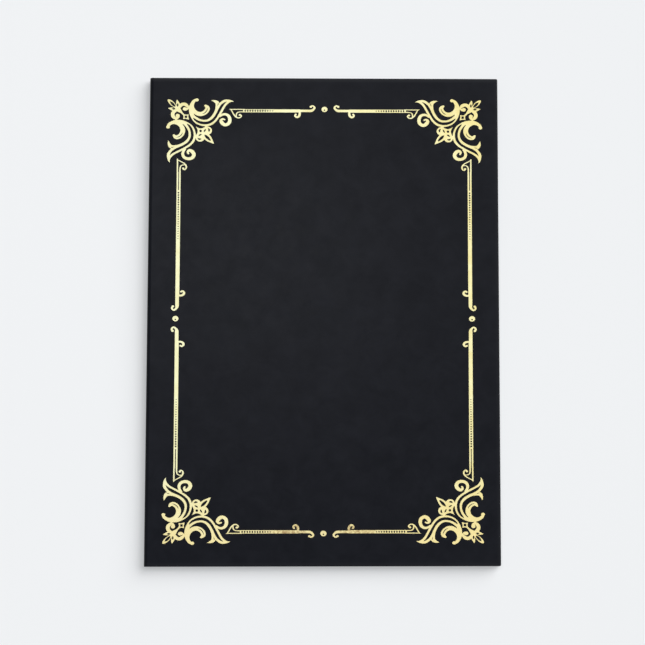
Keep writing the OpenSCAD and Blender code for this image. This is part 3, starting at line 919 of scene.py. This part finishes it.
class AddHingeCloth(bpy.types.Operator):
    """Line the hinge with black book cloth, from board to board over the spine"""

    bl_idname = "holder.add_hinge_cloth"
    bl_label = "Hinge Cloth"
    bl_options = {"REGISTER", "UNDO"}

    def execute(self, context):
        cloth = cloth_material()
        back = self.tape("back_hinge_cloth", "back_hinge_tape")
        front = front_copy(back, "front_hinge_cloth")
        even_out(back, front)
        finish_piece(back, cloth, "hinge_tape", "back_hinge_tape")
        finish_piece(front, cloth, "hinge_tape", "front_hinge_tape")
        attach(back, "back_cover")
        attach(front, "front_cover")
        spine = self.channel("spine_cloth", "spine_lining")
        even_out(spine)
        finish_piece(spine, cloth, "hinge_tape", "spine_lining")
        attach(spine, "spine")
        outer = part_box("spine_wrap")[0].z - sizes().covering
        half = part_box("spine_lining")[1].y
        back_bend = bent_strip("back_fold_cloth", outer - sizes().cloth, outer, half, None)
        front_bend = front_copy(back_bend, "front_fold_cloth")
        finish_piece(back_bend, cloth, "hinge_tape", "back_crease_lining")
        finish_piece(front_bend, cloth, "hinge_tape", "front_crease_lining")
        blend_strips(back_bend, front_bend)
        return {"FINISHED"}

    def tape(self, name, node):
        """Cloth that lies on a board and bends down its edge to the covering."""
        low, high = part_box(node)
        centre = ((low.x + high.x) / 2, 0, high.z)
        piece = add_strip(name, centre, high.x - low.x, high.y - low.y)
        edit()
        pick("EDGE", lambda edge: lies_on(edge, TO_SPINE, -low.x))
        extrude((0, 0, low.z - high.z))
        pick("EDGE", lambda edge: lies_on(edge, TO_SPINE, -low.x) and lies_on(edge, UP, high.z))
        return self.finish_cloth(piece)

    def channel(self, name, node):
        """Cloth over the inner side of the spine's strip and down both of its edges."""
        low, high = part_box(node)

        def at_edge(edge):
            return lies_on(edge, UP, low.z) or lies_on(edge, UP, high.z)

        centre = (high.x, 0, (low.z + high.z) / 2)
        piece = add_strip(name, centre, high.z - low.z, high.y - low.y, (0, math.pi / 2, 0))
        edit()
        pick("EDGE", at_edge)
        extrude((low.x - high.x, 0, 0))
        pick("EDGE", lambda edge: lies_on(edge, TO_FORE, high.x) and at_edge(edge))
        return self.finish_cloth(piece)

    def finish_cloth(self, piece):
        """Rounds the bends that are selected, and gives the cloth its thickness."""
        round_off(sizes().cloth_bend, EDGE_STEPS)
        leave()
        thicken(piece, sizes().cloth)
        smooth()
        return piece


# Ribbons ------------------------------------------------------------------------------------


class AddRibbons(bpy.types.Operator):
    """Stretch a satin ribbon across each corner of the back panel's lining card"""

    bl_idname = "holder.add_ribbons"
    bl_label = "Corner Ribbons"
    bl_options = {"REGISTER", "UNDO"}

    def execute(self, context):
        satin = satin_material()
        low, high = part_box("back_liner")
        first = self.ribbon("satin_tail_spine", Vector((low.x, low.y, 0)))
        centre = Vector(((low.x + high.x) / 2, 0, 0))
        pieces = {"tail_spine": first}
        for corner in CORNERS:
            flips = (1 if "spine" in corner else -1, 1 if "tail" in corner else -1, 1)
            if corner not in pieces:
                pieces[corner] = copy_mirrored(first, f"satin_{corner}", flips, centre)
        for corner, piece in pieces.items():
            finish_piece(piece, satin, "ribbon", f"ribbon_{corner}")
            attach(piece, "back_cover")
        return {"FINISHED"}

    def cut_length(self):
        """Length of ribbon before it is folded: across the corner, down and under at each end."""
        low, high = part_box("ribbon_tail_spine")
        tucked = high.z - low.z + sizes().ribbon_tail
        return math.sqrt(2) * (sizes().ribbon_reach + 2 * tucked)

    def ribbon(self, name, corner):
        """Ribbon at the corner of the card from which x and y run inwards."""
        low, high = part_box("ribbon_tail_spine")
        thick, tail = sizes().ribbon_thick, sizes().ribbon_tail
        inwards = Vector((1, 1, 0))
        middle = corner + inwards * sizes().ribbon_reach / 2
        middle.z = high.z
        span = 2 * sizes().ribbon_reach
        piece = add_strip(name, middle, span, sizes().ribbon, (0, 0, -math.pi / 4))
        edit()
        for way, edge_at in ((-TO_FORE, corner.x - thick), (-TO_HEAD, corner.y - thick)):
            bpy.ops.mesh.select_all(action="SELECT")
            cut(inwards * edge_at, way, keep_outside=False)
        for way in (TO_FORE, TO_HEAD):
            beside = inwards - way
            side = corner.dot(way) - thick
            pick("EDGE", lambda edge: lies_on(edge, way, side) and lies_on(edge, UP, high.z))
            extrude((0, 0, low.z - high.z))
            extrude(inwards * tail + (way - beside) * thick)
            for fold in (high.z, low.z):
                pick("EDGE", lambda edge: lies_on(edge, way, side) and lies_on(edge, UP, fold))
                round_off(sizes().ribbon_fold, FOLD_STEPS)
        leave()
        thicken(piece, thick)
        self.unroll(piece, corner, low.z, high.z)
        smooth()
        return piece

    def unroll(self, piece, corner, bottom, top):
        """Gives the ribbon a map in metres: along it, and across it from its middle line."""
        by_edge = sizes().ribbon_thick * 2
        under = bottom + sizes().ribbon_thick * 1.2
        layer = piece.data.uv_layers.new(name="ribbon")
        for loop in piece.data.loops:
            spot = piece.data.vertices[loop.vertex_index].co - corner
            flat = [spot.x, spot.y]
            drop = min(max(top - spot.z, 0), top - bottom)
            for i in (0, 1):
                if flat[i] < by_edge and flat[1 - i] > flat[i]:
                    flat[i] = min(flat[i], -drop)
                elif spot.z < under and flat[1 - i] > flat[i]:
                    flat[i] = bottom - top - flat[i]
            across = (flat[0] + flat[1] - sizes().ribbon_reach) / math.sqrt(2)
            layer.data[loop.index].uv = ((flat[0] - flat[1]) / math.sqrt(2), across)


# Finishes of the part's own nodes -----------------------------------------------------------


class FinishFoil(bpy.types.Operator):
    """Give the stamped border its gold foil"""

    bl_idname = "holder.finish_foil"
    bl_label = "Foil Border"
    bl_options = {"REGISTER", "UNDO"}

    def execute(self, context):
        foil = foil_material()
        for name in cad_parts:
            if name.startswith("foil"):
                finish_node(name, foil)
        return {"FINISHED"}


class FinishInside(bpy.types.Operator):
    """Give the lining cards, the clear sheet and the boards their finishes"""

    bl_idname = "holder.finish_inside"
    bl_label = "Lining and Boards"
    bl_options = {"REGISTER", "UNDO"}

    def execute(self, context):
        lining, board = lining_material(), board_material()
        for name in ("back_liner", "front_liner"):
            finish_node(name, lining)
        for name in ("back_board", "front_board", "spine_strip", "back_infill", "front_infill"):
            finish_node(name, board)
        finish_node("clear_sheet", film_material())
        return {"FINISHED"}


# Stage --------------------------------------------------------------------------------------


def backdrop_rays(tree):
    """1 for what looks at the backdrop: camera, mirrors and glass; 0 for light that falls."""
    path = place(tree, "ShaderNodeLightPath").outputs
    seen = sum_of(tree, "MAXIMUM", path["Is Camera Ray"], path["Is Glossy Ray"])
    return sum_of(tree, "MAXIMUM", seen, path["Is Transmission Ray"])


class AddStage(bpy.types.Operator):
    """Set the pale floor, the soft light and the camera"""

    bl_idname = "holder.add_stage"
    bl_label = "Floor, Light and Camera"
    bl_options = {"REGISTER", "UNDO"}

    def execute(self, context):
        settings = context.scene.holder_stage
        self.room(context.scene, settings)
        self.floor(settings)
        self.lamps(settings)
        self.camera(context.scene, settings)
        context.scene.view_settings.view_transform = "Standard"
        return {"FINISHED"}

    def room(self, scene, settings):
        """Pale surroundings that light the part softly."""
        world = bpy.data.worlds.new("Room")
        scene.world = world
        world.use_nodes = True
        tree = world.node_tree
        tree.nodes.clear()
        soft = place(tree, "ShaderNodeBackground", {
            "Color": solid((1, 1, 1)), "Strength": settings.room,
        })
        pale = place(tree, "ShaderNodeBackground", {
            "Color": solid(colours().backdrop), "Strength": 1.0,
        })
        either = place(tree, "ShaderNodeMixShader", {
            0: backdrop_rays(tree), 1: soft.outputs[0], 2: pale.outputs[0],
        })
        place(tree, "ShaderNodeOutputWorld", {"Surface": either.outputs[0]})

    def floor(self, settings):
        """Plain pale floor that takes the part's shadow."""
        floor = add_strip("floor", (0, 0, -FLOOR_DROP), FLOOR_SIZE, FLOOR_SIZE)
        material = bpy.data.materials.new("Pale Floor")
        material.use_nodes = True
        tree = material.node_tree
        tree.nodes.clear()
        tint = solid(colours().backdrop)
        paper = place(tree, "ShaderNodeBsdfDiffuse", {"Color": tint})
        glow = place(tree, "ShaderNodeEmission", {"Color": tint, "Strength": 1.0})
        share = sum_of(tree, "MULTIPLY", backdrop_rays(tree), settings.haze)
        either = place(tree, "ShaderNodeMixShader", {
            0: share, 1: paper.outputs[0], 2: glow.outputs[0],
        })
        place(tree, "ShaderNodeOutputMaterial", {"Surface": either.outputs[0]})
        floor.data.materials.append(material)

    def lamps(self, settings):
        """A soft lamp from the fore edge and the head, and a broad one overhead."""
        bpy.ops.object.light_add(type="SUN", location=LAMP_PLACE, rotation=LAMP_TURN)
        lamp = bpy.context.object
        lamp.name = "soft_lamp"
        lamp.data.energy = settings.lamp
        lamp.data.angle = LAMP_SPREAD
        bpy.ops.object.light_add(type="AREA", location=WINDOW_PLACE, rotation=WINDOW_TURN)
        window = bpy.context.object
        window.name = "window"
        window.data.energy = settings.window
        window.data.size = WINDOW_SIZE

    def camera(self, scene, settings):
        """Camera above the cover, turned as the photograph was taken."""
        bpy.ops.object.camera_add(location=settings.eye, rotation=settings.tilt)
        camera = bpy.context.object
        camera.name = "camera"
        camera.data.sensor_width = SENSOR_WIDTH
        camera.data.lens = settings.lens
        camera.data.shift_x, camera.data.shift_y = settings.crop
        camera.data.clip_start = NEAREST_SEEN
        scene.camera = camera


# Panel and start ----------------------------------------------------------------------------


BUILDERS = (
    AddCoverings, AddSpine, AddHingeCloth, AddRibbons, FinishFoil, FinishInside, AddStage,
)


class HolderPanel(bpy.types.Panel):
    """Lists the holder's pieces, sizes and colours"""

    bl_idname = "VIEW3D_PT_certificate_holder"
    bl_label = "Certificate Holder"
    bl_space_type = "VIEW_3D"
    bl_region_type = "UI"
    bl_category = "Holder"

    def draw(self, context):
        for builder in BUILDERS:
            self.layout.operator(builder.bl_idname)
        for group in ("holder_sizes", "holder_colours", "holder_stage"):
            settings = getattr(context.scene, group)
            box = self.layout.box()
            for name in settings.__annotations__:
                box.prop(settings, name)


CLASSES = (CoverSizes, CoverColours, StageSettings, *BUILDERS, HolderPanel)


def register():
    for made in CLASSES:
        bpy.utils.register_class(made)
    bpy.types.Scene.holder_sizes = bpy.props.PointerProperty(type=CoverSizes)
    bpy.types.Scene.holder_colours = bpy.props.PointerProperty(type=CoverColours)
    bpy.types.Scene.holder_stage = bpy.props.PointerProperty(type=StageSettings)


def unregister():
    del bpy.types.Scene.holder_stage
    del bpy.types.Scene.holder_colours
    del bpy.types.Scene.holder_sizes
    for made in reversed(CLASSES):
        bpy.utils.unregister_class(made)


def main():
    register()
    bpy.ops.holder.add_coverings()
    bpy.ops.holder.add_spine()
    bpy.ops.holder.add_hinge_cloth()
    bpy.ops.holder.add_ribbons()
    bpy.ops.holder.finish_foil()
    bpy.ops.holder.finish_inside()
    bpy.ops.holder.add_stage()


if __name__ == "__main__":
    main()
